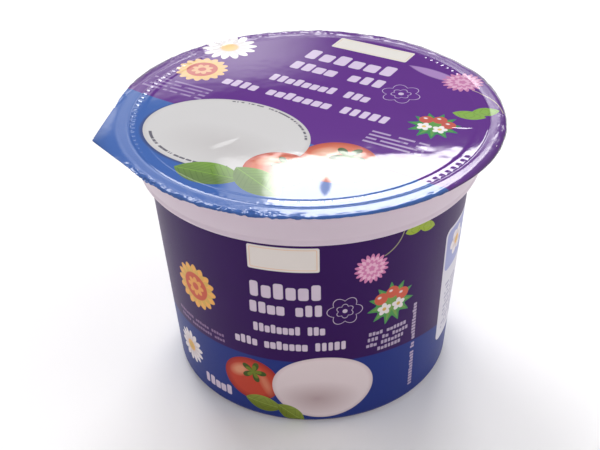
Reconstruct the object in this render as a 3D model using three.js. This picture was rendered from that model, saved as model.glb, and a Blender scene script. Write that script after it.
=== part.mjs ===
// A round, tapered plastic food tub, filled and shut by a printed film with a pull tab.
// Millimetres, +Z up. The origin is the centre of the flat base; -Y is the front of the label,
// and the pull tab points towards -X. Azimuths run from the front towards +X.

import * as THREE from "three";

const degree = Math.PI / 180;

// Driving dimensions
const tubHeight = 70.0; // base to the top of the flange's band, film on
const baseRadius = 36.8; // label face, at the level of the base
const labelTopRadius = 40.7; // label face, under the ledge
const ledgeHeight = 58.6; // underside of the overhanging neck
const neckLowRadius = 43.0;
const neckHighRadius = 44.3;
const flangeRadius = 47.7;
const filmRadius = 48.4; // where the film is turned down round the flange

// Walls, skins and gaps
const baseEdgeRound = 2.0; // rounding between base and wall
const neckEdgeRound = 0.9; // rounding of the neck's lower edge
const neckRootRound = 1.2; // rounding where the neck meets the flange
const flangeThickness = 1.3;
const flangeBevel = 0.3;
const labelThickness = 0.45;
const filmThickness = 0.35;
const gap = 0.3; // between touching pieces
const labelLowAngle = 40 * degree; // how far down the base rounding the label reaches
const labelTopMargin = 0.5; // label edge below the ledge

// Underside: a shallow ring groove between the centre disc and the standing rim
const grooveInnerRadius = 24;
const grooveOuterRadius = 32;
const grooveDepth = 0.8;
const grooveSlope = 0.8;

// Film relief, from the centre outwards: flat web, raised seal bead, groove, flange band
const webRadius = 41.1;
const beadInnerRadius = 41.7;
const beadOuterRadius = 43.9;
const sealGrooveRadius = 44.5;
const bandInnerRadius = 45.0;
const bandOuterRadius = 47.6;
const beadRise = 0.25; // above the band
const sealGrooveDrop = 0.1; // below the band
const webDrop = 0.1; // below the band

// Turned-down edge of the film: deeper at the front left and back right than in between
const skirtDrop = 0.95;
const skirtSway = 0.3;
const skirtDeepAzimuth = -45 * degree;
const crimpDepth = 0.2; // in and out wave of the crimped edge
const crimpCount = 34;

// At the back the edge wasn't turned down and stands out nearly flat
const flareAzimuth = 190 * degree;
const flareRadius = 49.5;
const flareRise = 0.4;

// Pull tab: two straight edges that leave the film's round edge and meet at a blunt corner
const tabAzimuth = -77.3 * degree;
const tabReach = 53.4; // axis to where the two edges would cross
const tabEdgeDistance = 48.8; // from the axis to the line of either edge
const tabCornerRound = 1.2;
const tabDroop = 0.5; // how far the corner hangs below the film

// Fineness
const tubSides = 84;
const filmSides = 144;
const arcSteps = 3;

const tubFinish = new THREE.MeshStandardMaterial({ color: 0xd8d0dc, roughness: 0.42, metalness: 0 });
const labelFinish = new THREE.MeshStandardMaterial({ color: 0x3a2168, roughness: 0.38, metalness: 0 });
const filmFinish = new THREE.MeshStandardMaterial({ color: 0x4f3f9c, roughness: 0.2, metalness: 0.1 });

// The label face's radius at height z on the straight wall
function wallRadius(z) {
  return baseRadius + (labelTopRadius - baseRadius) * z / ledgeHeight;
}

// Points on a circular arc in the profile plane, angles from +r towards +z
function arc(centreR, centreZ, radius, from, to) {
  const points = [];
  for (let i = 0; i <= arcSteps; i += 1) {
    const angle = from + (to - from) * i / arcSteps;
    points.push(new THREE.Vector2(centreR + radius * Math.cos(angle), centreZ + radius * Math.sin(angle)));
  }
  return points;
}

// A solid of revolution about +Z. LatheGeometry turns about +Y, so it is tipped upright.
function turned(name, profile, material) {
  const geometry = new THREE.LatheGeometry(profile, tubSides);
  geometry.rotateX(Math.PI / 2);
  const mesh = new THREE.Mesh(geometry, material);
  mesh.name = name;
  return mesh;
}

// Centre of the base rounding, shared by the tub's foot and the label
const foot = new THREE.Vector2(wallRadius(baseEdgeRound) - baseEdgeRound, baseEdgeRound);

// The filled tub, with a recess as deep as the label on its wall and a flange under the film
function makeTub() {
  const recess = labelThickness + gap;
  const recessFrom = -labelLowAngle - gap / baseEdgeRound;
  const bandTop = tubHeight - filmThickness - gap;
  const flangeUnder = bandTop - flangeThickness;
  const point = (r, z) => new THREE.Vector2(r, z);
  const profile = [
    point(0, 0),
    point(grooveInnerRadius, 0),
    point(grooveInnerRadius + grooveSlope, grooveDepth),
    point(grooveOuterRadius - grooveSlope, grooveDepth),
    point(grooveOuterRadius, 0),
    ...arc(foot.x, foot.y, baseEdgeRound, -Math.PI / 2, recessFrom),
    ...arc(foot.x, foot.y, baseEdgeRound - recess, recessFrom, 0),
    point(wallRadius(ledgeHeight) - recess, ledgeHeight),
    ...arc(neckLowRadius - neckEdgeRound, ledgeHeight + neckEdgeRound, neckEdgeRound, -Math.PI / 2, 0),
    ...arc(neckHighRadius + neckRootRound, flangeUnder - neckRootRound, neckRootRound, Math.PI, Math.PI / 2),
    point(flangeRadius - flangeBevel, flangeUnder),
    point(flangeRadius, flangeUnder + flangeBevel),
    point(flangeRadius, bandTop - flangeBevel),
    point(flangeRadius - flangeBevel, bandTop),
    point(bandInnerRadius, bandTop),
    point(sealGrooveRadius, bandTop - sealGrooveDrop),
    point(beadOuterRadius, bandTop + beadRise),
    point(beadInnerRadius, bandTop + beadRise),
    point(webRadius, bandTop - webDrop),
    point(0, bandTop - webDrop),
  ];
  return turned("tub", profile, tubFinish);
}

// The printed label, a thin sleeve moulded onto the tapered wall and into the base rounding
function makeLabel() {
  const top = ledgeHeight - labelTopMargin;
  const profile = [
    ...arc(foot.x, foot.y, baseEdgeRound, -labelLowAngle, 0),
    new THREE.Vector2(wallRadius(top), top),
    new THREE.Vector2(wallRadius(top) - labelThickness, top),
    ...arc(foot.x, foot.y, baseEdgeRound - labelThickness, 0, -labelLowAngle),
  ];
  profile.push(profile[0].clone());
  return turned("label", profile, labelFinish);
}

// Distance from the axis to the edge of the tab, at an angle away from its corner
function tabEdge(away) {
  const halfAngle = Math.asin(tabEdgeDistance / tabReach); // half the angle between the two edges
  const straight = tabEdgeDistance / Math.sin(halfAngle + Math.abs(away));
  const roundCentre = tabReach - tabCornerRound / Math.sin(halfAngle);
  const sideways = roundCentre * Math.sin(Math.abs(away));
  if (halfAngle + Math.abs(away) > Math.PI / 2) return tabEdgeDistance;
  if (sideways >= tabCornerRound) return straight;
  const rounded = roundCentre * Math.cos(away) + Math.sqrt(tabCornerRound ** 2 - sideways ** 2);
  return Math.min(straight, rounded);
}

// The film's upper face along one ray from the axis, as (radius, height) points
function filmRay(azimuth) {
  const away = Math.atan2(Math.sin(azimuth - tabAzimuth), Math.cos(azimuth - tabAzimuth));
  const tab = tabEdge(away);
  const outwards = tab - tabEdgeDistance;
  const onTab = THREE.MathUtils.smoothstep(outwards, 0, 0.8);
  const onFlare = THREE.MathUtils.smoothstep(Math.cos(azimuth - flareAzimuth), 0.1, 0.45);
  const flat = Math.max(onTab, onFlare);
  const hang = tabDroop * outwards / (tabReach - tabEdgeDistance) - flareRise * onFlare;
  const flatRadius = THREE.MathUtils.lerp(tab, flareRadius, onFlare);

  const wave = Math.sin(crimpCount * azimuth) + 0.6 * Math.sin(2.3 * crimpCount * azimuth + 1.1);
  const crimp = crimpDepth * wave * (1 - flat);
  const drop = skirtDrop + skirtSway * Math.cos(2 * (azimuth - skirtDeepAzimuth)) + 0.5 * crimp;
  const mix = (round, spread) => THREE.MathUtils.lerp(round, spread, flat);
  return [
    [webRadius * 0.6, tubHeight - webDrop],
    [webRadius, tubHeight - webDrop],
    [beadInnerRadius, tubHeight + beadRise],
    [beadOuterRadius, tubHeight + beadRise],
    [sealGrooveRadius, tubHeight - sealGrooveDrop],
    [bandInnerRadius, tubHeight],
    [bandOuterRadius, tubHeight],
    [mix(filmRadius - 0.15, filmRadius), mix(tubHeight - 0.25, tubHeight - 0.2 * hang)],
    [mix(filmRadius, (filmRadius + flatRadius) / 2), mix(tubHeight - 0.6 * drop, tubHeight - 0.5 * hang)],
    [mix(filmRadius - 0.1 + crimp, flatRadius), mix(tubHeight - drop, tubHeight - hang)],
  ];
}

// The same ray moved inwards by the film's thickness, square to the film
function underFace(ray) {
  return ray.map((point, i) => {
    const before = ray[Math.max(i - 1, 0)];
    const after = ray[Math.min(i + 1, ray.length - 1)];
    const run = after[0] - before[0];
    const rise = after[1] - before[1];
    const length = Math.hypot(run, rise);
    return [point[0] + filmThickness * rise / length, point[1] - filmThickness * run / length];
  });
}

// The film: one closed sheet, an upper and an under face of rings about a centre point each
function makeFilm() {
  const vertices = [0, 0, tubHeight - webDrop, 0, 0, tubHeight - webDrop - filmThickness];
  const triangles = [];
  let rings = 0;
  for (let side = 0; side < filmSides; side += 1) {
    const azimuth = 2 * Math.PI * side / filmSides;
    const upper = filmRay(azimuth);
    rings = upper.length;
    for (const [radius, height] of [...upper, ...underFace(upper)]) {
      vertices.push(radius * Math.sin(azimuth), -radius * Math.cos(azimuth), height);
    }
  }
  const at = (side, ring) => 2 + (side % filmSides) * 2 * rings + ring;
  const quad = (a, b, c, d) => triangles.push(a, b, c, a, c, d);
  for (let side = 0; side < filmSides; side += 1) {
    triangles.push(0, at(side, 0), at(side + 1, 0));
    triangles.push(1, at(side + 1, rings), at(side, rings));
    for (let ring = 0; ring < rings - 1; ring += 1) {
      quad(at(side, ring), at(side, ring + 1), at(side + 1, ring + 1), at(side + 1, ring));
      const under = ring + rings;
      quad(at(side, under), at(side + 1, under), at(side + 1, under + 1), at(side, under + 1));
    }
    const last = rings - 1;
    quad(at(side, last), at(side, last + rings), at(side + 1, last + rings), at(side + 1, last));
  }
  const geometry = new THREE.BufferGeometry();
  geometry.setAttribute("position", new THREE.Float32BufferAttribute(vertices, 3));
  geometry.setIndex(triangles);
  geometry.computeVertexNormals();
  const mesh = new THREE.Mesh(geometry, filmFinish);
  mesh.name = "lid_film";
  return mesh;
}

const group = new THREE.Group();
group.add(makeTub(), makeLabel(), makeFilm());

export default group;
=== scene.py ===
import math

import bpy
import numpy as np
from mathutils import Matrix, Vector, noise


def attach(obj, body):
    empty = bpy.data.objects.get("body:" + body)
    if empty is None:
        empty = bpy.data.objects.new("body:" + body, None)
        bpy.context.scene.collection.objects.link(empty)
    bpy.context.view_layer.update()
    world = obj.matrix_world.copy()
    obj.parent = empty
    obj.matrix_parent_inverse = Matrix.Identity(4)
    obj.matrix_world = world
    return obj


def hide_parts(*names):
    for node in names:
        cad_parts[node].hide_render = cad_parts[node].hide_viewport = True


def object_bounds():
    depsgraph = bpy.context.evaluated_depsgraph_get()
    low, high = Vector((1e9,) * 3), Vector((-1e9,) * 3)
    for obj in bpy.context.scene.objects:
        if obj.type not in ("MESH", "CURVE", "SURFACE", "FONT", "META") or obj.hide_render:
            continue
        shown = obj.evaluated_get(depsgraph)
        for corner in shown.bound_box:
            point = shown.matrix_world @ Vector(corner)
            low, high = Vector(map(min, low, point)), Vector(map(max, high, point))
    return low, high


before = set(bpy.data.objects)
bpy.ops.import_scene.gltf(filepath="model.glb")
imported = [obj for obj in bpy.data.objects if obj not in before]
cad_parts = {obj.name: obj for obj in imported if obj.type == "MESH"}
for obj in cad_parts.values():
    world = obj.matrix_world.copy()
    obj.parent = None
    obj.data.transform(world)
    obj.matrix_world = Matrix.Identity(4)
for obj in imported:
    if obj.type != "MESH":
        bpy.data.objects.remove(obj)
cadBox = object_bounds()
mm = 0.001
scene = bpy.context.scene


shot = {
    "lens": 63.6,
    "sensor": 36,
    "place": (-2.9 * mm, -234.1 * mm, 191.8 * mm),
    "lookDown": 33.62,  # degrees below the horizon
    "lean": -1.39,  # degrees of roll
}
studio = {
    "skyColour": (1.0, 0.985, 0.995),
    "lowSky": 0.2,  # strength of the sky near the horizon
    "highSky": 0.62,
    "skyRise": (22, 44),  # between these degrees above the horizon it brightens
    "sideSky": (0.35, 0.8),  # more light from the left and the right
    "sideSpan": (0.3, 0.9),  # how far to the side that starts and is full
    "patchSpan": 0.3,  # how far behind the tub the two patches below are full
    "haze": {  # a soft patch at the back left that the lid mirrors
        "strength": 2.4,
        "rise": (15.5, 25.5),
        "slant": (-0.36, 0.005),  # sideways over forward
        "soft": (0.015, 0.055),  # its edges: upright, sideways
    },
    "hazeLean": 0.08,  # how much higher the haze stands toward the left
    "glint": {  # a bright patch higher up on the left, for the folds at the front left
        "strength": 11.0,
        "rise": (38, 58),
        "slant": (-0.7, -0.17),
        "soft": (0.03, 0.04),
    },
    "floorColour": (0.94, 0.94, 0.94),
    "floorFlat": 1.6,  # level this far out, in metres, then it curves up into a low wall
    "floorCurve": 1.4,
    "floorWall": 0.7,
    "floorSides": 96,
    "floorSteps": 17,
    "floorDrop": 0.05 * mm,
    "panelPower": 14.5,
    "panelSize": (0.64, 0.5),
    "panelCorner": (-0.14, 1.2, 0.776),  # lower left corner, in metres
    "panelLean": 1.0,  # degrees that its right end sinks
    "panelVeil": (0.0, 0.05, 0.2),  # a weaker strip at its left: from, to, share of the power
    "panelEdge": (0.11, 0.16),
}


def makeCamera():
    data = bpy.data.cameras.new("camera")
    data.lens = shot["lens"]
    data.sensor_width = shot["sensor"]
    data.clip_start = 0.01
    camera = bpy.data.objects.new("camera", data)
    tilt = Matrix.Rotation(math.radians(90 - shot["lookDown"]), 4, "X")
    lean = Matrix.Rotation(math.radians(shot["lean"]), 4, "Z")
    camera.matrix_world = Matrix.Translation(shot["place"]) @ tilt @ lean
    scene.collection.objects.link(camera)
    scene.camera = camera


def mapRange(tree, value, low, high, first=0.0, last=1.0):
    node = tree.nodes.new("ShaderNodeMapRange")
    node.interpolation_type = "SMOOTHSTEP"
    limits = {"From Min": low, "From Max": high, "To Min": first, "To Max": last}
    for place, number in limits.items():
        node.inputs[place].default_value = number
    tree.links.new(value, node.inputs["Value"])
    return node.outputs["Result"]


def combine(tree, kind, first, second):
    node = tree.nodes.new("ShaderNodeMath")
    node.operation = kind
    for place, value in enumerate((first, second)):
        if isinstance(value, (int, float)):
            node.inputs[place].default_value = value
        else:
            tree.links.new(value, node.inputs[place])
    return node.outputs[0]


def window(tree, value, low, high, soft):
    # 1 between two limits, 0 outside them
    above = mapRange(tree, value, high - soft, high + soft)
    return combine(tree, "SUBTRACT", mapRange(tree, value, low - soft, low + soft), above)


def sines(angles):
    return [math.sin(math.radians(a)) for a in angles]


def patch(tree, height, slant, shape):
    # a patch of light in the sky
    upright = window(tree, height, *sines(shape["rise"]), shape["soft"][0])
    sideways = window(tree, slant, *shape["slant"], shape["soft"][1])
    return combine(tree, "MULTIPLY", combine(tree, "MULTIPLY", upright, sideways), shape["strength"])


def makeSky():
    world = bpy.data.worlds.new("sky")
    world.use_nodes = True
    tree = world.node_tree
    background = tree.nodes["Background"]
    direction = tree.nodes.new("ShaderNodeTexCoord")
    split = tree.nodes.new("ShaderNodeSeparateXYZ")
    tree.links.new(direction.outputs["Generated"], split.inputs[0])
    x, y, z = split.outputs
    sky = mapRange(tree, z, *sines(studio["skyRise"]), studio["lowSky"], studio["highSky"])
    slant = combine(tree, "DIVIDE", x, combine(tree, "MAXIMUM", y, 0.01))
    leaning = combine(tree, "ADD", z, combine(tree, "MULTIPLY", x, studio["hazeLean"]))
    haze = patch(tree, leaning, slant, studio["haze"])
    patches = combine(tree, "ADD", haze, patch(tree, z, slant, studio["glint"]))
    patches = combine(tree, "MULTIPLY", patches, mapRange(tree, y, 0.0, studio["patchSpan"]))
    near, far = studio["sideSpan"]
    left = mapRange(tree, x, -far, -near, studio["sideSky"][0], 0.0)
    right = mapRange(tree, x, near, far, 0.0, studio["sideSky"][1])
    light = combine(tree, "ADD", combine(tree, "ADD", sky, patches), combine(tree, "ADD", left, right))
    tree.links.new(light, background.inputs["Strength"])
    background.inputs["Color"].default_value = (*studio["skyColour"], 1)
    scene.world = world
    scene.view_settings.view_transform = "Standard"


def plane(name, width, depth):
    x, y = width / 2, depth / 2
    mesh = bpy.data.meshes.new(name)
    mesh.from_pydata([(-x, -y, 0), (x, -y, 0), (x, y, 0), (-x, y, 0)], [], [(0, 1, 2, 3)])
    thing = bpy.data.objects.new(name, mesh)
    scene.collection.objects.link(thing)
    return thing


def makeFloor():
    flat, curve, sides = studio["floorFlat"], studio["floorCurve"], studio["floorSides"]
    bends = np.linspace(0, math.acos(1 - studio["floorWall"] / curve), studio["floorSteps"])
    rings = [(flat + curve * math.sin(a), curve * (1 - math.cos(a))) for a in bends]
    turns = [2 * math.pi * i / sides for i in range(sides)]
    points = [(r * math.cos(a), r * math.sin(a), z) for r, z in rings for a in turns]
    faces = [tuple(range(sides))]
    for ring in range(len(rings) - 1):
        for i in range(sides):
            here, there = ring * sides + i, ring * sides + (i + 1) % sides
            faces.append((here, here + sides, there + sides, there))
    mesh = bpy.data.meshes.new("floor")
    mesh.from_pydata(points, [], faces)
    mesh.shade_smooth()
    floor = bpy.data.objects.new("floor", mesh)
    scene.collection.objects.link(floor)
    floor.location.z = -studio["floorDrop"]
    material = bpy.data.materials.new("paleFloor")
    material.use_nodes = True
    shader = material.node_tree.nodes["Principled BSDF"]
    shader.inputs["Base Color"].default_value = (*studio["floorColour"], 1)
    shader.inputs["Roughness"].default_value = 0.9
    shader.inputs["Specular IOR Level"].default_value = 0.1
    floor.data.materials.append(material)


def makeLightPanel():
    width, height = studio["panelSize"]
    panel = plane("lightPanel", width, height)
    left, back, low = studio["panelCorner"]
    stand = Matrix.Rotation(math.radians(90), 4, "X")
    lean = Matrix.Rotation(math.radians(studio["panelLean"]), 4, "Y")
    centred = Matrix.Translation((width / 2, 0, height / 2))
    panel.matrix_world = Matrix.Translation((left, back, low)) @ lean @ centred @ stand
    panel.visible_camera = False
    material = bpy.data.materials.new("lightPanel")
    material.use_nodes = True
    tree = material.node_tree
    tree.nodes.clear()
    place = tree.nodes.new("ShaderNodeTexCoord")
    split = tree.nodes.new("ShaderNodeSeparateXYZ")
    glow = tree.nodes.new("ShaderNodeEmission")
    out = tree.nodes.new("ShaderNodeOutputMaterial")
    tree.links.new(place.outputs["Generated"], split.inputs[0])
    low, high, veil = studio["panelVeil"]
    power = studio["panelPower"]
    faint = mapRange(tree, split.outputs["X"], low, high, 0.0, veil * power)
    full = mapRange(tree, split.outputs["X"], *studio["panelEdge"], 0.0, (1 - veil) * power)
    tree.links.new(combine(tree, "ADD", faint, full), glow.inputs["Strength"])
    tree.links.new(glow.outputs[0], out.inputs["Surface"])
    panel.data.materials.append(material)


makeCamera()
makeSky()
makeFloor()
makeLightPanel()
print("studio ready")


class Wire:
    # a number that runs through a node tree, so that shapes can be written as sums
    def __init__(self, tree, socket):
        self.tree = tree
        self.socket = socket

    def maths(self, kind, *others, clamp=False):
        node = self.tree.nodes.new("ShaderNodeMath")
        node.operation = kind
        node.use_clamp = clamp
        for place, value in enumerate((self, *others)):
            if isinstance(value, Wire):
                self.tree.links.new(value.socket, node.inputs[place])
            else:
                node.inputs[place].default_value = value
        return Wire(self.tree, node.outputs[0])

    def __add__(self, other):
        return self.maths("ADD", other)

    def __sub__(self, other):
        return self.maths("SUBTRACT", other)

    def __mul__(self, other):
        return self.maths("MULTIPLY", other)

    def __truediv__(self, other):
        return self.maths("DIVIDE", other)

    def size(self):
        return self.maths("ABSOLUTE")

    def least(self, other):
        return self.maths("MINIMUM", other)

    def most(self, other):
        return self.maths("MAXIMUM", other)

    def timesPlus(self, scale, shift, clamp=False):
        return self.maths("MULTIPLY_ADD", scale, shift, clamp=clamp)


def length(x, y):
    return (x * x + y * y).maths("SQRT")


def turned(at, middle, turn=0.0):
    # coordinates measured from the middle of a shape that is turned by so many degrees
    x, y = at[0] - middle[0], at[1] - middle[1]
    if not turn:
        return x, y
    c, s = math.cos(math.radians(turn)), math.sin(math.radians(turn))
    return x * c + y * s, y * c - x * s


def ink(distance, soft=0.09):
    # 1 inside a shape, 0 outside, with an edge as soft as print
    return distance.timesPlus(-1 / soft, 0.5, clamp=True)


def oval(at, middle, half, turn=0.0):
    x, y = turned(at, middle, turn)
    return (length(x / half[0], y / half[1]) - 1.0) * min(half)


def ring(at, middle, radius, width):
    x, y = turned(at, middle)
    return (length(x, y) - radius).size() - width / 2


def roundedBox(at, middle, half, corner, turn=0.0):
    x, y = turned(at, middle, turn)
    x = x.size() - (half[0] - corner)
    y = y.size() - (half[1] - corner)
    outside = length(x.most(0.0), y.most(0.0))
    return outside + x.most(y).least(0.0) - corner


def leafShape(at, middle, half, turn=0.0):
    # two arcs that meet in a point at each end
    x, y = turned(at, middle, turn)
    radius = (half[0] ** 2 + half[1] ** 2) / (2 * half[1])
    return length(x, y.size() + (radius - half[1])) - radius


def petals(at, middle, radius, count, depth, turn=0.0, pointed=False):
    # a flower head with so many petals, round ones or pointed ones
    x, y = turned(at, middle, turn)
    spread = (y.maths("ARCTAN2", x) * (count / 2)).maths("COSINE").size()
    if pointed:
        return length(x, y) - spread.timesPlus(-radius * depth, radius)
    return length(x, y) - spread.timesPlus(radius * depth, radius * (1 - depth))


def cellNoise(tree, x, y, seed=0.0):
    # one random number for each square of a grid
    grain = tree.nodes.new("ShaderNodeTexWhiteNoise")
    grain.noise_dimensions = "2D"
    join = tree.nodes.new("ShaderNodeCombineXYZ")
    tree.links.new(x.maths("FLOOR").socket, join.inputs[0])
    tree.links.new((y.maths("FLOOR") + seed).socket, join.inputs[1])
    tree.links.new(join.outputs[0], grain.inputs["Vector"])
    return Wire(tree, grain.outputs["Value"])


class Print:
    # a stack of flat inks, one laid over the other
    def __init__(self, tree, at, ground, inks):
        self.tree = tree
        self.at = at
        self.colour = ground
        self.inks = inks

    def blend(self, mask, colour, kind="MIX"):
        node = self.tree.nodes.new("ShaderNodeMix")
        node.data_type = "RGBA"
        node.blend_type = kind
        self.tree.links.new(mask.socket, node.inputs["Factor"])
        self.tree.links.new(self.colour, node.inputs[6])
        node.inputs[7].default_value = (*colour, 1)
        self.colour = node.outputs[2]

    def mix(self, mask, colour):
        self.blend(mask, self.inks[colour])

    def darken(self, mask, share):
        self.blend(mask, (share, share, share), "MULTIPLY")

    def lay(self, distance, colour, soft=0.09, strength=1.0):
        mask = ink(distance, soft)
        if strength != 1.0:
            mask = mask * strength
        self.mix(mask, colour)


def drawBall(art, middle, half, shadeAt, shadeShare):
    # a white cheese ball, with a shade in its lower half and a thin one along its edge
    shape = oval(art.at, middle, half)
    art.lay(shape, "ball")
    x, y = turned(art.at, (middle[0] + shadeAt * half[0], middle[1] - 0.35 * half[1]))
    low = length(x / (0.95 * half[0]), y / (0.65 * half[1]))
    art.mix(low.timesPlus(-1.0, 0.9, clamp=True) * ink(shape) * shadeShare, "ballShade")
    art.mix(shape.size().timesPlus(-0.9, 0.9, clamp=True) * ink(shape) * 0.4, "ballShade")


def drawTomato(art, middle, radius, turn=0.0):
    def spot(right, up, wide, high, lean):
        place = (middle[0] + right * radius, middle[1] + up * radius)
        return oval(art.at, place, (wide * radius, high * radius), turn + lean)

    body = spot(0, 0, 1, 0.94, 0)
    art.lay(body, "tomato")
    art.mix(body.timesPlus(0.5, 1.0, clamp=True) * ink(body) * 0.8, "tomatoDark")
    art.lay(spot(-0.4, 0.3, 0.32, 0.2, 35), "tomatoLight", soft=1.6, strength=0.9)
    art.lay(spot(0.5, -0.05, 0.14, 0.45, 20), "tomatoLight", soft=1.3, strength=0.5)
    place = (middle[0] + 0.1 * radius, middle[1] + 0.36 * radius)
    art.lay(petals(art.at, place, 0.46 * radius, 5, 0.82, turn), "leafDark")
    art.lay(petals(art.at, place, 0.3 * radius, 5, 0.8, turn + 8), "leaf", soft=0.3)


def drawLeaf(art, middle, half, turn=0.0, colour="leaf"):
    shape = leafShape(art.at, middle, half, turn)
    art.lay(shape, colour)
    x, y = turned(art.at, middle, turn)
    art.mix(ink(shape) * (y * (0.45 / half[1]) + 0.2).maths("ADD", 0.0, clamp=True), "leafLight")
    veins = (x.size() + y.size() * 0.8).maths("PINGPONG", 0.75)
    art.mix(ink(veins - 0.12, 0.25) * ink(shape + 0.2) * 0.35, "leafDark")
    art.mix(ink(y.size() - 0.1) * ink(shape + 0.25) * 0.8, "leafLight")


def drawDaisy(art, middle, radius, turn=0.0, count=14):
    art.lay(petals(art.at, middle, radius, count, 0.3, turn), "daisy")
    inner = petals(art.at, middle, radius * 0.7, count, 0.5, turn + 180 / count)
    art.lay(inner, "ballShade", soft=0.6, strength=0.35)
    art.lay(oval(art.at, middle, (0.3 * radius, 0.3 * radius)), "yellow")
    art.lay(ring(art.at, middle, 0.27 * radius, 0.16 * radius), "amber", soft=0.3, strength=0.6)


def drawBlossom(art, middle, radius, turn=0.0):
    # a round pink flower head, in rings of small petals
    for i, count in enumerate((18, 15, 12, 9, 5)):
        share = 1 - 0.2 * i
        petal = petals(art.at, middle, share * radius, count, 0.28, turn + 37 * share)
        art.lay(petal, ("pink", "pinkLight")[i % 2], soft=0.2)


def drawStem(art, start, end, bow):
    # a thin stalk between two points, bent sideways by so many millimetres
    run, rise = end[0] - start[0], end[1] - start[1]
    reach = math.hypot(run, rise)
    x, y = turned(art.at, start, math.degrees(math.atan2(rise, run)))
    along = x * (1 / reach)
    curve = along * (along * -1.0 + 1.0) * (4 * bow)
    line = (y - curve).size() - 0.16
    art.lay(line.most((x - reach / 2).size() - reach / 2), "stem", strength=0.9)


def drawSunflower(art, middle, radius):
    art.lay(petals(art.at, middle, radius, 16, 0.2), "amber")
    art.lay(petals(art.at, middle, 0.86 * radius, 16, 0.3, 11), "yellow", soft=0.3, strength=0.7)
    art.lay(oval(art.at, middle, (0.6 * radius, 0.6 * radius)), "rust", soft=0.3)
    art.lay(petals(art.at, middle, 0.42 * radius, 8, 0.35), "amber", soft=0.3, strength=0.8)
    art.lay(oval(art.at, middle, (0.16 * radius, 0.16 * radius)), "rust", soft=0.3)


def drawPosy(art, middle, radius):
    # a tuft of green leaves with white flowers and red berries
    art.lay(petals(art.at, middle, radius, 11, 0.36, 10, pointed=True), "badge")
    inner = petals(art.at, middle, 0.85 * radius, 11, 0.6, 10, pointed=True)
    art.lay(inner, "leafLight", soft=0.5, strength=0.4)
    for across, up in ((-0.44, 0.32), (0.46, 0.28), (0.02, 0.5)):
        place = (middle[0] + across * radius, middle[1] + up * radius)
        art.lay(oval(art.at, place, (0.27 * radius, 0.27 * radius)), "rust")
        glint = (place[0] - 0.07 * radius, place[1] + 0.08 * radius)
        art.lay(oval(art.at, glint, (0.07 * radius, 0.05 * radius)), "daisy", soft=0.3)
    for across, up in ((-0.3, -0.2), (0.3, -0.16)):
        place = (middle[0] + across * radius, middle[1] + up * radius)
        art.lay(petals(art.at, place, 0.29 * radius, 5, 0.4, 20), "daisy")
        art.lay(oval(art.at, place, (0.08 * radius, 0.08 * radius)), "yellow")


def drawOutlineFlower(art, middle, radius):
    for share, turn in ((1.0, 0), (0.5, 30)):
        line = petals(art.at, middle, share * radius, 6, 0.28, turn).size() - 0.09
        art.lay(line, "text", strength=0.9)
    art.lay(oval(art.at, middle, (0.14 * radius, 0.14 * radius)), "text", strength=0.9)


def drawPlate(art, middle, half):
    # a bare plate with a thin line inside its edge
    art.lay(roundedBox(art.at, middle, half, 0.5), "plate")
    inner = roundedBox(art.at, middle, (half[0] - 0.6, half[1] - 0.6), 0.3)
    art.lay(inner.size() - 0.09, "amber", strength=0.6)


def drawBlocks(art, left, row, words, pitch, height, seed, colour="text", turn=0.0):
    # where words would stand: runs of plain rounded blocks, uneven in width and a few of them lower
    x, y = turned(art.at, (left, row), turn)
    cells = x * (1 / pitch)
    odd = cellNoise(art.tree, cells, x * 0.0, seed)
    low = odd.maths("GREATER_THAN", 0.62) * (0.1 * height)
    corner = 0.14 * height
    x = (cells.maths("FRACT") - 0.5).size() * pitch - odd * (0.11 * pitch) - (0.33 * pitch - corner)
    y = (y + low).size() + low - (0.5 * height - corner)
    block = length(x.most(0.0), y.most(0.0)) + x.most(y).least(0.0) - corner
    start, run = 0, None
    for count in words:
        part = cells.maths("GREATER_THAN", start) * cells.maths("LESS_THAN", start + count)
        run = part if run is None else run + part
        start += count + 1
    art.mix(ink(block, 0.14) * run, colour)


def drawLines(art, low, high, rows, inkShare, seed, colour="faint", strength=0.9):
    # a block of fine broken lines, as small as the smallest print
    x, y = art.at
    pitch = (high[1] - low[1]) / rows
    level = (y - low[1]) * (1 / pitch)
    band = (level.maths("FRACT") - 0.5).size() - inkShare / 2
    broken = (cellNoise(art.tree, x * (1.6 / pitch), level, seed) - 0.8) * 1.5
    frameX = (x - (low[0] + high[0]) / 2).size() - (high[0] - low[0]) / 2
    frameY = (y - (low[1] + high[1]) / 2).size() - (high[1] - low[1]) / 2
    shape = (band * pitch).most(broken).most(frameX.most(frameY))
    art.lay(shape, colour, soft=0.15, strength=strength)


def drawEdgeLine(art, middle, half, inset, angles, seed, colour, height=0.7):
    # the same fine broken line, but run along the edge of an oval
    x, y = turned(art.at, middle)
    band = (oval(art.at, middle, half) + inset).size() - height / 2
    mid, spread = math.radians(sum(angles) / 2), math.radians(angles[1] - angles[0]) / 2
    c, s = math.cos(mid), math.sin(mid)
    x, y = x / half[0], y / half[1]
    angle = (y * c - x * s).maths("ARCTAN2", x * c + y * s)
    broken = (cellNoise(art.tree, angle * (max(half) / 0.42), angle * 0.0, seed) - 0.72) * 1.5
    ends = (angle.size() - spread) * max(half)
    art.lay(band.most(broken).most(ends), colour, soft=0.16, strength=0.85)


def newMaterial(name, values):
    material = bpy.data.materials.new(name)
    material.use_nodes = True
    shader = material.node_tree.nodes["Principled BSDF"]
    for socket, value in values.items():
        shader.inputs[socket].default_value = value
    return material, material.node_tree, shader


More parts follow.
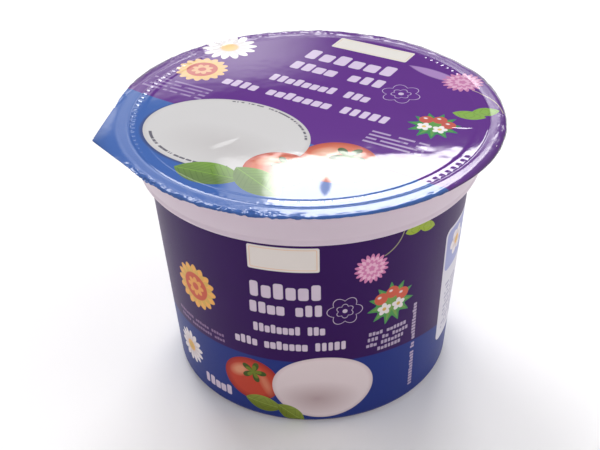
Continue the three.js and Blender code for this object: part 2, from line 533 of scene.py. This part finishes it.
def surfacePoint(tree):
    # where on the object, in millimetres
    place = tree.nodes.new("ShaderNodeTexCoord")
    scaled = tree.nodes.new("ShaderNodeVectorMath")
    scaled.operation = "SCALE"
    scaled.inputs["Scale"].default_value = 1 / mm
    tree.links.new(place.outputs["Object"], scaled.inputs[0])
    split = tree.nodes.new("ShaderNodeSeparateXYZ")
    tree.links.new(scaled.outputs[0], split.inputs[0])
    return scaled.outputs[0], [Wire(tree, s) for s in split.outputs]


def speckle(tree, point, scale, detail=2.0, rough=0.5):
    grain = tree.nodes.new("ShaderNodeTexNoise")
    grain.inputs["Scale"].default_value = scale
    grain.inputs["Detail"].default_value = detail
    grain.inputs["Roughness"].default_value = rough
    tree.links.new(point, grain.inputs["Vector"])
    return Wire(tree, grain.outputs["Fac"])


def bump(tree, shader, height, distance, strength=1.0):
    node = tree.nodes.new("ShaderNodeBump")
    node.inputs["Strength"].default_value = strength
    node.inputs["Distance"].default_value = distance
    tree.links.new(height.socket, node.inputs["Height"])
    tree.links.new(node.outputs["Normal"], shader.inputs["Normal"])


def shade(tree, colour, spread, wire):
    # a colour that drifts a little darker and lighter
    node = tree.nodes.new("ShaderNodeMix")
    node.data_type = "RGBA"
    for place, factor in ((6, 1 - spread), (7, 1 + spread)):
        node.inputs[place].default_value = (*[c * factor for c in colour], 1)
    tree.links.new(wire.socket, node.inputs["Factor"])
    return node.outputs[2]


def arcPoints(middleR, middleZ, radius, start, end, steps):
    angles = np.radians(np.linspace(start, end, steps + 1))
    return list(zip(middleR + radius * np.cos(angles), middleZ + radius * np.sin(angles)))


def spin(name, rings, sides, closed=False):
    # a skin over rings of radius and height, each the same all round or given per side
    turn = np.arange(sides) * 2 * math.pi / sides
    step = np.arange(sides)
    points, index, total = [], [], 0
    for r, z in rings:
        if np.ndim(r) == 0 and r == 0:
            points.append(np.array([[0, 0, float(np.mean(z))]]))
            index.append(np.full(sides, total))
        else:
            x, y = r * np.sin(turn), -r * np.cos(turn)
            points.append(np.stack([x, y, np.broadcast_to(z, (sides,))], 1))
            index.append(total + step)
        total += len(points[-1])
    quads, tris = [], []
    after = index[1:] + ([index[0]] if closed else [])
    for here, there in zip(index, after):
        if here[0] == here[1]:
            tris.append(np.stack([here, np.roll(there, -1), there], 1))
        elif there[0] == there[1]:
            tris.append(np.stack([here, np.roll(here, -1), there], 1))
        else:
            quads.append(np.stack([here, np.roll(here, -1), np.roll(there, -1), there], 1))
    quads = np.concatenate(quads)
    tris = np.concatenate(tris) if tris else np.zeros((0, 3), int)
    corners = np.concatenate([quads.ravel(), tris.ravel()]).astype(np.int32)
    starts = np.concatenate([np.arange(len(quads)) * 4, len(quads) * 4 + np.arange(len(tris)) * 3])
    low, high = (np.array(p) / mm for p in cadBox)
    points = np.clip(np.concatenate(points), low, high) * mm  # nothing stands out of the solid's box
    mesh = bpy.data.meshes.new(name)
    mesh.vertices.add(len(points))
    mesh.vertices.foreach_set("co", points.ravel())
    mesh.loops.add(len(corners))
    mesh.loops.foreach_set("vertex_index", corners)
    mesh.polygons.add(len(starts))
    mesh.polygons.foreach_set("loop_start", starts.astype(np.int32))
    mesh.update(calc_edges=True)
    mesh.validate()
    mesh.shade_smooth()
    thing = bpy.data.objects.new(name, mesh)
    scene.collection.objects.link(thing)
    print(name, len(quads) * 2 + len(tris), "triangles")
    return thing


tub = {
    "sides": 320,
    "gate": ((0, 0.35), (0.9, 0.35), (1.2, 0.1), (1.6, 0.0)),  # the moulding point under the foot
    "groove": (24.0, 32.0, 0.8),  # ring in the underside: inner and outer radius, depth
    "grooveRound": 0.4,
    "foot": 36.8,  # radius of the wall at the floor
    "wallTop": 40.7,
    "ledge": 58.6,  # height where the neck band starts
    "neck": (43.0, 44.3),  # radius of the band, below and above
    "neckLip": ((0.03, 60.0), (-0.03, 60.25), (-0.03, 60.5), (0.12, 60.8)),  # faint line round the band
    "flange": 47.7,
    "flangeThickness": 1.3,
    "flangeRound": 0.35,
    "footRound": 2.0,
    "neckRound": 0.9,
    "rootRound": 1.3,
    "labelGap": 0.03,
    "filmGap": 0.04,
    "plastic": (0.6, 0.5, 0.57),
    "shader": {
        "Subsurface Weight": 0.15,
        "Subsurface Scale": 0.002,
        "Subsurface Radius": (1.0, 0.8, 1.0),
        "Specular IOR Level": 0.4,
    },
}


def wallRadius(z):
    return tub["foot"] + (tub["wallTop"] - tub["foot"]) * z / tub["ledge"]


def tubMaterial():
    material, tree, shader = newMaterial("tubPlastic", tub["shader"])
    point = surfacePoint(tree)[0]
    cloud = speckle(tree, point, 0.06, 3)
    tree.links.new(shade(tree, tub["plastic"], 0.04, cloud), shader.inputs["Base Color"])
    fine = speckle(tree, point, 1.6, 3, 0.6)
    tree.links.new(fine.timesPlus(0.16, 0.34).socket, shader.inputs["Roughness"])
    bump(tree, shader, fine, 0.01 * mm, 0.6)
    return material


def makeTub():
    recess = label["thickness"] + tub["labelGap"]
    top = film["height"] - film["thickness"] - tub["filmGap"]
    under = top - tub["flangeThickness"]
    soft, curl = tub["footRound"], tub["grooveRound"]
    footR = wallRadius(soft) - soft
    inner, outer, deep = tub["groove"]
    (neckLow, neckHigh), ledge = tub["neck"], tub["ledge"]
    lip, root, edge = tub["neckRound"], tub["rootRound"], tub["flangeRound"]
    beadIn, beadTop, beadOut, grooveAt = film["bead"]
    lowAngle = -label["lowAngle"] - 3  # the label's recess starts a little below its edge
    # from the middle of the foot up the outside, then in under the film
    profile = [*tub["gate"], (inner - 0.3, 0)]
    profile += arcPoints(inner + curl, deep - curl, curl, 200, 90, 5)
    profile += arcPoints(outer - curl, deep - curl, curl, 90, -20, 5)
    profile += [(outer + 0.3, 0)]
    profile += arcPoints(footR, soft, soft, -90, lowAngle, 6)
    profile += arcPoints(footR, soft, soft - recess, lowAngle, 0, 8)
    profile += [(wallRadius(z) - recess, z) for z in np.linspace(6, ledge, 8)]
    profile += [(neckLow - lip - 0.5, ledge)]
    profile += arcPoints(neckLow - lip, ledge + lip, lip, -90, 0, 9)
    profile += [(neckLow + out, z) for out, z in tub["neckLip"]]
    profile += arcPoints(neckHigh + root, under - root, root, 180, 90, 9)
    profile += arcPoints(tub["flange"] - edge, under + edge, edge, -90, 0, 5)
    profile += arcPoints(tub["flange"] - edge, top - edge, edge, 0, 90, 5)
    profile += [(film["grooveOuter"][0], top), (grooveAt, top + film["groove"])]
    profile += [(beadOut, top), (beadTop, top), (beadIn, top + film["web"]), (0, top + film["web"])]
    thing = spin("tub_shell", profile, tub["sides"])
    thing.data.materials.append(tubMaterial())
    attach(thing, "root")
    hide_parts("tub")


label = {
    "sides": 720,
    "rows": 60,
    "thickness": 0.3,
    "lowAngle": 50,  # how far down the base rounding it reaches, in degrees
    "top": 58.4,
    "topRound": (0.1, 0.12),  # its upper edge is rounded so far in and so far down
    "seamWidth": 0.5,
    "blueTop": 21.3,  # height of the blue field in front
    "blueFall": (12.0, 52.0, 3.8, 7.0),  # sinks from: where, over which length, how much there, at most
    "backRadius": 39.0,  # the side and back print is laid out on a cylinder of this radius
    "shader": {"Specular IOR Level": 0.13},
    "inks": {
        "purple": (0.03, 0.0025, 0.08),
        "blue": (0.015, 0.03, 0.19),
        "ball": (0.72, 0.61, 0.62),
        "ballShade": (0.42, 0.3, 0.31),
        "text": (0.6, 0.5, 0.6),
        "small": (0.42, 0.34, 0.46),
        "faint": (0.24, 0.14, 0.27),
        "plate": (0.72, 0.66, 0.62),
        "tomato": (0.5, 0.055, 0.028),
        "tomatoDark": (0.26, 0.014, 0.018),
        "tomatoLight": (0.66, 0.3, 0.17),
        "leaf": (0.15, 0.19, 0.018),
        "leafBright": (0.3, 0.4, 0.03),
        "leafDark": (0.05, 0.085, 0.015),
        "leafLight": (0.3, 0.38, 0.07),
        "stem": (0.3, 0.28, 0.16),
        "daisy": (0.72, 0.66, 0.66),
        "yellow": (0.6, 0.38, 0.09),
        "amber": (0.78, 0.4, 0.1),
        "rust": (0.56, 0.1, 0.06),
        "badge": (0.07, 0.26, 0.075),
        "pink": (0.6, 0.2, 0.38),
        "pinkLight": (0.74, 0.42, 0.56),
        "panel": (0.62, 0.6, 0.66),
        "panelBlue": (0.3, 0.32, 0.56),
        "panelInk": (0.24, 0.22, 0.36),
    },
}


def labelMaterial():
    material, tree, shader = newMaterial("labelPrint", label["shader"])
    point, (x, y, z) = surfacePoint(tree)
    radius = length(x, y)
    angle = x.maths("ARCTAN2", y * -1.0)
    s = angle * radius  # the way round from the middle of the front
    at = (s, z)
    cloud = speckle(tree, point, 0.09, 3)
    art = Print(tree, at, shade(tree, label["inks"]["purple"], 0.08, cloud), label["inks"])

    start, span, share, most = label["blueFall"]
    fall = ((s + start) * (1 / span)).maths("POWER", 4.0) * share
    art.lay(z + fall.least(most) - label["blueTop"], "blue", soft=0.35)
    drawBlossom(art, (13.6, 48.8), 4.3, 10)
    drawStem(art, (16.8, 51.6), (22.2, 58.5), -1.2)
    drawLeaf(art, (25.2, 56.4), (3.0, 1.5), 6, "leafBright")
    drawLeaf(art, (29.0, 55.4), (2.9, 1.4), -22, "leafBright")
    drawPlate(art, (-7.1, 53.2), (8.4, 3.5))
    drawBlocks(art, -15.8, 43.6, (6,), 2.95, 4.7, 1.0)
    drawBlocks(art, -15.9, 38.0, (4, 3), 2.24, 3.5, 2.0)
    drawBlocks(art, -15.2, 31.6, (8, 3), 1.48, 2.7, 3.0)
    drawBlocks(art, -20.4, 26.4, (4, 7, 5), 1.56, 2.7, 4.0)
    drawOutlineFlower(art, (7.2, 37.3), 4.3)
    drawSunflower(art, (-32.2, 36.8), 6.9)
    drawPosy(art, (19.2, 36.4), 6.6)
    drawBlocks(art, 13.2, 28.0, (4, 6), 0.98, 1.15, 3.0, "small")
    drawBlocks(art, 12.9, 26.2, (3, 2, 5), 0.98, 1.15, 3.5, "small")
    drawBlocks(art, 12.6, 24.4, (3, 7), 0.98, 1.15, 4.5, "small")
    drawBlocks(art, 15.6, 22.6, (7,), 0.98, 1.15, 5.5, "small")
    drawBlocks(art, -41.8, 24.6, (8, 6, 5), 0.86, 0.9, 8.0, "faint")
    drawBlocks(art, -40.8, 22.9, (5, 9, 4), 0.86, 0.9, 9.0, "faint")
    drawBlocks(art, 26.7, 4.2, (12, 2, 12), 1.02, 1.3, 5.0, "small", 90)
    drawDaisy(art, (-38.2, 12.6), 5.4, 8)
    drawBlocks(art, -32.4, 5.8, (5,), 1.95, 3.3, 6.0)
    drawTomato(art, (-16.6, 12.9), 7.6)
    drawBall(art, (1.9, 12.4), (12.8, 10.4), -0.12, 1.0)
    drawLeaf(art, (-13.6, 5.2), (4.9, 2.6), -8)
    drawLeaf(art, (-6.4, 3.2), (4.3, 2.3), -38)

    # side and back: a pale panel of fine lines, then more of the same motifs
    art.lay(roundedBox(at, (61, 30), (23.2, 18.6), 2.2), "panel")
    art.lay(roundedBox(at, (61, 41.4), (22.4, 6.4), 1.8), "panelBlue")
    drawDaisy(art, (45.0, 42.2), 4.2, 5, 6)
    drawLines(art, (52.5, 37), (81.5, 46), 6, 0.45, 21.0, "panel", 0.8)
    drawLines(art, (40.5, 14), (81.5, 30.5), 11, 0.45, 31.0, "panelInk", 0.8)
    art.at = (angle * label["backRadius"], z)
    drawLines(art, (-84, 29), (-52, 51), 13, 0.42, 41.0)
    drawSunflower(art, (-97, 38), 5.4)
    drawBlocks(art, 88.0, 49.0, (6, 4), 1.65, 3.2, 7.0)
    drawLines(art, (88, 26), (107, 44), 11, 0.42, 51.0)
    drawDaisy(art, (-92, 11), 5.0, 3)
    drawTomato(art, (99, 12.6), 6.6)
    drawLeaf(art, (91.5, 6.2), (4.4, 2.3), 24)
    art.lay(roundedBox(art.at, (-68, 11.5), (9.5, 5.2), 1.0), "plate")

    half = radius * math.pi  # the label's ends meet at the back
    art.lay(half - s.size() - label["seamWidth"] / 2, "text")
    tree.links.new(art.colour, shader.inputs["Base Color"])

    fine = speckle(tree, point, 2.2, 3, 0.55)
    tree.links.new(fine.timesPlus(0.12, 0.34).socket, shader.inputs["Roughness"])
    bump(tree, shader, fine, 0.01 * mm, 0.5)
    return material


def makeLabel():
    soft = tub["footRound"]
    footR = wallRadius(soft) - soft
    thick = label["thickness"]
    low, top = -label["lowAngle"], label["top"]
    roundIn, roundDown = label["topRound"]
    heights = np.linspace(soft, top - roundDown, label["rows"])[1:]
    outer = arcPoints(footR, soft, soft, low, 0, 10) + [(wallRadius(h), h) for h in heights]
    outer += [(wallRadius(top) - roundIn, top)]
    inner = arcPoints(footR, soft, soft - thick, low, 0, 6)
    inner += [(wallRadius(h) - thick, h) for h in heights[9::10]] + [(wallRadius(top) - thick, top)]
    thing = spin("label_sleeve", outer + inner[::-1], label["sides"], closed=True)
    thing.data.materials.append(labelMaterial())
    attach(thing, "root")
    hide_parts("label")


film = {
    "sides": 1170,
    "thickness": 0.18,
    "height": 70.0,
    "web": -0.04,
    "bead": (41.1, 41.6, 43.9, 44.4),  # low seal ring, then the groove outside it
    "groove": -0.08,
    "grooveOuter": (45.45, -0.55),  # the groove rises slowly up to here: mean, less in front
    "grooveWide": (80, 22, 0.6),  # and widest round this azimuth: spread in degrees, how much
    "shallow": (95, 145),  # between these azimuths, web and groove rise almost to the seal ring
    "tabAt": -77.3,
    "tabReach": 53.35,
    "tabEdge": 48.75,
    "tabRound": 0.9,
    "tabDroop": 0.45,
    "tabCurl": 0.001,  # how fast its two sides curl down from its middle line
    "dots": 130,  # small dots on the seal ring
    "dotBand": (42.8, 43.8),
    "edgeRadius": 48.27,
    "shoulder": 0.19,  # how fast the film falls outside the bend, at least
    "rimRings": 24,  # the outermost rings of the mesh, where the film is crumpled
    "edgeRings": 10,  # those of them that lie past the bend
    "underRings": 12,  # the underside keeps this many outermost rings, and every third of the rest
    # round the rim: azimuth, share spread flat, radius of the bend, edge radius and rise where flat,
    # skirt depth, creases, height of the lip inside the bend, height of the dots
    "rim": (
        (-180, 1, 47.1, 49.5, 0, 0.9, 0.8, 0, 0),
        (-146, 1, 47.0, 49.8, 0, 0.9, 0.9, 0.05, 0),
        (-134, 1, 46.9, 50.2, -0.3, 0.9, 0.6, 0.06, 0.04),
        (-127, 1, 46.9, 50.5, -0.55, 0.9, 0.1, 0.06, 0.22),
        (-114, 1, 47.0, 49.9, -0.55, 0.9, 0.1, 0.06, 0.25),
        (-104, 1, 47.6, 48.9, 0, 0.9, 0.3, 0.03, 0.25),
        (-86, 1, 47.8, 48.8, 0, 0.9, 0.1, 0.04, 0.2),
        (-78, 1, 47.7, 48.8, 0, 0.9, 0.1, 0.04, 0.03),
        (-66, 1, 47.5, 48.8, 0, 0.9, 0.5, 0.04, 0.02),
        (-58, 0.7, 47.3, 48.9, 0, 0.7, 1.3, 0.02, 0.01),
        (-40, 0, 47.1, 48.8, 0, 0.75, 1.4, 0, 0.01),
        (-14, 0, 47.3, 48.8, 0, 0.62, 1.3, 0, 0.01),
        (0, 0, 47.5, 48.8, 0, 0.5, 0.7, 0, 0.01),
        (14, 0, 47.7, 48.8, 0, 0.5, 0.3, 0, 0.01),
        (34, 0, 47.4, 48.8, 0, 0.7, 0.2, 0, 0.01),
        (39, 0, 47.1, 48.8, 0, 0.7, 0.15, 0, 0.06),
        (46, 0, 46.7, 48.8, 0, 0.7, 0.1, 0, 0.06),
        (54, 0, 46.2, 48.8, 0, 0.8, 0.05, 0, 0.05),
        (57, 0, 46.2, 48.8, 0, 0.9, 0.05, 0, 0),
        (67, 0, 46.2, 48.8, 0, 1, 0.4, 0, 0),
        (74, 0, 46.3, 48.8, 0, 1, 0.8, 0, 0),
        (80, 0, 46.4, 48.8, 0, 1, 0.5, 0, 0),
        (92, 0.3, 47.0, 48.7, -0.5, 0.9, 0.1, 0, 0),
        (112, 1, 47.1, 49.0, -0.5, 0.9, 0.1, 0, 0.01),
        (118, 1, 47.1, 48.9, -0.5, 0.9, 0.1, 0.01, 0.05),
        (132, 1, 47.1, 48.9, -0.5, 0.9, 0.2, 0.02, 0.05),
        (140, 1, 47.1, 49.2, -0.4, 0.9, 0.4, 0.02, 0),
        (180, 1, 47.1, 49.5, 0, 0.9, 0.8, 0, 0),
    ),
    # small dents and creases in the web: middle, half size, turn, height
    "dents": (
        ((-22.8, -15.8), (5.2, 1.1), 28, 0.03),
        ((36.5, -10.5), (1.6, 0.2), -8, 0.02),
    ),
    # a small dull spot: middle, half size, turn, roughness
    "rubbed": ((2.9, -35.9), (3.7, 1.1), 85, 0.42),
    "printTurn": -31.3,  # degrees, the way the lid went on
    "cheese": ((-12.0, -19.1), (21.5, 16.5)),  # the cheese ball in the print: middle, half size
    "shader": {"IOR": 1.4},
    "inks": {
        "purple": (0.105, 0.022, 0.222),
        "blue": (0.042, 0.118, 0.385),
        "ball": (0.585, 0.58, 0.58),
        "ballShade": (0.44, 0.42, 0.42),
        "text": (0.62, 0.52, 0.7),
        "faint": (0.34, 0.24, 0.46),
        "dark": (0.05, 0.045, 0.08),
        "plate": (0.72, 0.7, 0.66),
        "tomato": (0.58, 0.15, 0.08),
        "tomatoDark": (0.4, 0.06, 0.05),
        "tomatoLight": (0.7, 0.4, 0.28),
        "leaf": (0.12, 0.2, 0.06),
        "leafBright": (0.22, 0.38, 0.08),
        "leafDark": (0.05, 0.1, 0.03),
        "leafLight": (0.22, 0.42, 0.06),
        "stem": (0.5, 0.42, 0.36),
        "daisy": (0.8, 0.77, 0.78),
        "yellow": (0.72, 0.5, 0.16),
        "amber": (0.74, 0.48, 0.25),
        "rust": (0.5, 0.1, 0.08),
        "badge": (0.04, 0.24, 0.09),
        "pink": (0.52, 0.2, 0.38),
        "pinkLight": (0.66, 0.38, 0.54),
        "violet": (0.36, 0.22, 0.48),
    },
}


def smooth(value, low, high):
    t = np.clip((value - low) / (high - low), 0, 1)
    return t * t * (3 - 2 * t)


def waves(angles, seed, lowest, highest, falloff=1.0):
    # sum of sine waves round the rim, always the same for one seed
    draw = np.random.default_rng(seed)
    total = np.zeros_like(angles)
    for count in range(lowest, highest + 1):
        size = draw.normal() / count ** falloff
        total += size * np.sin(count * angles + draw.uniform(0, 2 * math.pi))
    return total / np.abs(total).max()


def lumps(turn, radius, along, scale, seed, kind="PERLIN_ORIGINAL"):
    # lumps over the film, with no seam; along is the way across the rim
    x, y = radius * np.sin(turn) / scale, radius * np.cos(turn) / scale
    places = zip(x.ravel(), y.ravel(), (along / scale + seed).ravel())
    flat = [noise.noise(Vector(p), noise_basis=kind) for p in places]
    return np.array(flat).reshape(x.shape)


def facets(turn, radius, along, scale, seed):
    # flat-sided dents that meet in sharp folds, from 0 in the dents to about 1 at the folds
    return (lumps(turn, radius, along, scale, seed, "VORONOI_F1") + 1) / 2


def tabRadius(away):
    # distance from the middle to the edge of the tab, so far round from its tip
    halfAngle = math.asin(film["tabEdge"] / film["tabReach"])
    across = halfAngle + np.abs(away)
    straight = film["tabEdge"] / np.sin(np.minimum(across, math.pi / 2))
    middle = film["tabReach"] - film["tabRound"] / math.sin(halfAngle)
    side = middle * np.sin(np.abs(away))
    tip = middle * np.cos(away) + np.sqrt(np.maximum(film["tabRound"] ** 2 - side ** 2, 0))
    nearTip = (side < film["tabRound"]) & (np.abs(away) < 0.3)
    return np.where(nearTip, np.minimum(straight, tip), straight)


def filmRings():
    # radius and height of every ring of the film's upper face, at every side
    turn = np.arange(film["sides"]) * 2 * math.pi / film["sides"]
    table = np.array(film["rim"], float).T
    degrees = (np.degrees(turn) + 180) % 360 - 180
    rows = [np.interp(degrees, table[0], row) for row in table[1:]]
    flat, bend, reach, rise, drop, creases, lip, dots = rows
    away = np.angle(np.exp(1j * (turn - math.radians(film["tabAt"]))))
    tab = tabRadius(away)
    onTab = smooth(tab, film["tabEdge"], film["tabEdge"] + 0.3)
    reach = np.maximum(tab * onTab, reach + 0.2 * waves(turn, 8, 6, 90, 0.4) * (1 - onTab))
    outOnTab = (tab - film["tabEdge"]) / (film["tabReach"] - film["tabEdge"])
    rise = rise - film["tabDroop"] * outOnTab
    patchy = 0.5 + 1.2 * np.clip(waves(turn, 15, 6, 60, 0.3) + 0.15, 0, 1)  # crumpled in patches
    creases = creases * patchy * (1 - 0.8 * onTab)
    drop = drop + (0.05 + 0.2 * creases) * waves(turn, 12, 25, 130, 0.3)

    web, groove = film["web"], film["groove"]
    grooveOuter = film["grooveOuter"][0] + film["grooveOuter"][1] * np.cos(turn)
    widest, spread, wider = film["grooveWide"]
    grooveOuter += wider * np.exp(-((degrees - widest) / spread) ** 2)
    shallow = smooth(np.abs(degrees), *film["shallow"])
    beadIn, beadTop, _, grooveAt = film["bead"]
    low, high = film["dotBand"]
    # radius, height and share of the dots: web, seal ring, dots, groove
    fixed = [(r, web, 0) for r in np.linspace(2, beadIn - 0.6, 7)]
    fixed += [(beadIn - 0.2, web, 0), (beadIn, web + 0.003, 0)]
    fixed += [(beadIn + 0.14, web + 0.012, 0), (beadIn + 0.36, web + 0.031, 0)]
    fixed += [(beadTop, 0.0, 0), (beadTop + 0.3, 0.004, 0), (42.4, 0.005, 0)]
    fixed += [(low + (high - low) * share, 0.005, share) for share in (0, 0.25, 0.5, 0.75, 0.95)]
    fixed += [(high + 0.05, 0.004, 0.9), (high + 0.16, 0.0, 0.25), (high + 0.25, -0.012, 0)]
    fixed += [(grooveAt - 0.16, groove + 0.03, 0), (grooveAt - 0.05, groove + 0.006, 0)]
    fixed += [(grooveAt + 0.05, groove, 0)]
    dot = np.clip(3 * np.cos(film["dots"] * turn) + 1.5, 0, 1) * dots  # a small ramp that rises outward
    dot = dot * (1 + 0.25 * waves(turn, 61, 20, 90, 0.0))
    level = 1 - 0.9 * shallow
    radii, heights = [], []
    for r, z, share in fixed:
        depth = level if r > beadTop else 1 - shallow * min(r / beadIn, 1)
        radii.append(np.full(len(turn), r))
        heights.append(z * depth + dot * share)
    for share in np.linspace(0, 1, 13)[1:]:
        r = grooveAt + (bend - grooveAt) * share
        slow = 1 - smooth(r, grooveAt, grooveOuter)
        radii.append(r)
        heights.append(groove * slow * level + lip * smooth(r, bend - 0.75, bend - 0.3))

    # past the bend: turned down round the flange, or spread out flat at the tab and at the back
    corner = [(0.0, 0.0), (0.26, -0.02), (0.56, -0.08), (0.79, -0.2), (0.93, -0.36), (1.0, -0.56)]
    shares = np.linspace(0, 1, film["edgeRings"] + 1)
    over = film["edgeRadius"] - bend
    for i, share in enumerate(shares[1:], 1):
        across, down = corner[min(i, len(corner) - 1)]
        down = np.minimum(down * drop / 0.9, -film["shoulder"] * across * over)
        fall = max(0, i - len(corner) + 1) / (len(shares) - len(corner))
        r = bend + over * across + 0.05 * fall
        z = down - (drop + down) * fall
        flatR = bend + (reach - bend) * share
        curling = onTab * smooth(flatR, film["tabEdge"] - 1.5, film["tabEdge"] + 1)
        sideways = 6 * np.tanh(away * flatR / 6) * curling  # at most 6 mm from the tab's middle line
        flatZ = rise * share ** 1.3 - film["tabCurl"] * sideways ** 2
        radii.append(r + (flatR - r) * flat)
        heights.append(lip + z + (flatZ - z) * flat)
    return turn, np.array(radii), film["height"] + np.array(heights), creases


def crumpled(turn, radius, height, creases):
    # faint streaks along the band, and sharp folds toward the rim
    turn = np.broadcast_to(turn, radius.shape)
    outward, upward = (np.diff(v, axis=0, prepend=v[:1]) for v in (radius, height))
    along = np.cumsum(np.hypot(outward, upward), axis=0)  # the way across the rim
    onBand = smooth(radius, 44.9, 45.6)
    streaks = lumps(turn, radius, 8 * along, 5, 11.0)
    height = height + 0.045 * onBand * np.minimum(creases, 1) * streaks
    longer = np.clip(waves(turn[0], 14, 5, 45, 0.3), 0, 1)  # some folds run further in
    inward = 0.6 + 1.4 * creases * longer
    atBend = along[-film["edgeRings"] - 1]
    atEdge = creases * smooth(along, atBend - inward, atBend + 0.3)
    small = facets(turn, radius, 1.6 * along, 1.3, 21.0)
    large = facets(turn, radius, 1.5 * along, 3.2, 31.0)
    inOut = facets(turn, radius, 1.6 * along, 1.2, 41.0)
    height = height + atEdge * (0.22 * small + 0.45 * large - 0.24)
    radius = radius + atEdge * (0.4 * inOut - 0.18)
    return radius, height


def filmMaterial():
    material, tree, shader = newMaterial("filmPrint", film["shader"])
    point, (x, y, z) = surfacePoint(tree)
    at = turned((x, y), (0.0, 0.0), film["printTurn"])
    u, v = at
    cloud = speckle(tree, point, 0.07, 3)
    art = Print(tree, at, shade(tree, film["inks"]["purple"], 0.06, cloud), film["inks"])
    wave = (u * 0.09).maths("COSINE") * 0.6
    art.lay(v + u * 0.062 - wave + 14.0, "blue", soft=0.35)  # the blue field, with a wavy edge
    drawDaisy(art, (-38.5, 22.4), 7.6, 8)
    drawPlate(art, (-2.6, 39.6), (11.4, 3.2))
    drawBlocks(art, -17.8, 29.4, (6,), 4.55, 5.6, 1.0)
    drawBlocks(art, -17.9, 21.6, (4, 3), 3.5, 4.4, 2.0)
    drawBlocks(art, -18.8, 12.4, (8, 3), 2.45, 3.6, 3.0)
    drawBlocks(art, -28.4, 4.6, (4, 7, 5), 2.68, 3.6, 4.0)
    drawOutlineFlower(art, (15.9, 19.2), 5.1)
    drawPosy(art, (30.3, 7.6), 6.6)
    drawSunflower(art, (-37.2, 7.2), 7.0)
    drawLines(art, (-46, -8.2), (-27.5, -1.2), 4, 0.42, 3.0, "faint", 0.8)
    drawLines(art, (18.5, -7.6), (33.5, -0.8), 4, 0.42, 13.0, "text", 0.6)
    art.lay(leafShape(at, (19.0, 33.6), (8.6, 1.9), -12), "violet", soft=0.5)
    drawBlossom(art, (27.0, 32.6), 5.4, 10)
    drawStem(art, (31, 29.5), (42.5, 21.5), 1.5)
    drawLeaf(art, (35.6, 16.6), (4.2, 2.1), 8, "leafBright")
    drawLeaf(art, (38.4, 20.0), (3.6, 2.1), 38, "leafBright")
    drawTomato(art, (18.2, -18.6), 9.6)
    middle, half = film["cheese"]
    shadow = oval(at, (middle[0] - 0.5, middle[1] - 0.6), half)
    art.lay(shadow, "dark", soft=0.6, strength=0.6)
    drawBall(art, middle, half, 0.15, 0.6)
    drawEdgeLine(art, middle, half, 0.9, (22, 112), 5.0, "dark", 0.5)
    drawEdgeLine(art, middle, half, 1.5, (212, 300), 8.0, "dark", 0.62)
    drawTomato(art, (7.8, -27.8), 8.0)
    drawLeaf(art, (-5.2, -36.8), (8.4, 4.6), 8)
    drawLeaf(art, (6.8, -34.6), (8.2, 4.4), -22)
    drawEdgeLine(art, (0, 0), (42.3, 42.3), 0.0, (-72, -38), 17.0, "text", 0.9)

    # painted shade: the print is darkened where the film turns down over the edge, least so at the
    # front left
    radius = length(x, y)
    frontLeft = ((x * -0.5 - y * 0.87) / radius).maths("MULTIPLY", 1.0, clamp=True)
    edge = (z * -1.0).timesPlus(2.0, 2 * film["height"] - 0.1, clamp=True)
    # painted shade on the turned-down film, not a colour of the print
    art.darken(edge * (frontLeft * -0.4 + 0.75), 0.25)
    tree.links.new(art.colour, shader.inputs["Base Color"])

    # the sealed band is duller than the web, least so in front
    slow = speckle(tree, point, 0.11, 2, 0.5)
    fine = speckle(tree, point, 0.9, 3, 0.6)
    inside = (radius - 44.2).maths("MULTIPLY", 1.6, clamp=True)
    sealed = inside - (radius - 47.2).maths("MULTIPLY", 1.2, clamp=True) * 0.7
    front = ((x * 0.26 - y * 0.97) / radius).timesPlus(2.4, -1.2, clamp=True)
    matt = sealed * (front * -0.11 + 0.19)
    place, half, turn, dull = film["rubbed"]
    matt = matt + ink(leafShape((x, y), place, half, turn), half[1]) * dull
    tree.links.new((fine * 0.03 + matt + 0.02).socket, shader.inputs["Roughness"])
    height = slow * 0.03 + fine * 0.001
    for place, half, turn, deep in film["dents"]:
        dent = ink(leafShape((x, y), place, half, turn), 0.4 + 1.3 * half[1])
        height = height + dent * deep
    bump(tree, shader, height, mm)
    return material


def makeFilm():
    turn, radius, height, creases = filmRings()
    outer = slice(-film["rimRings"], None)
    radius[outer], height[outer] = crumpled(turn, radius[outer], height[outer], creases)
    dr, dz = np.gradient(radius, axis=0), np.gradient(height, axis=0)
    size = np.hypot(dr, dz)
    lowR = radius + film["thickness"] * (dz / size)
    lowZ = height - film["thickness"] * (dr / size)
    middle, fine = height[0].mean(), len(radius) - film["underRings"]
    keep = [i for i in range(len(radius)) if i >= fine or i % 3 == 0]
    upper = [(0, middle)] + list(zip(radius, height))
    under = [(0, middle - film["thickness"])] + [(lowR[i], lowZ[i]) for i in keep]
    thing = spin("film_lid", under + upper[::-1], film["sides"])
    thing.data.materials.append(filmMaterial())
    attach(thing, "root")
    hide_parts("lid_film")


makeTub()
makeLabel()
makeFilm()
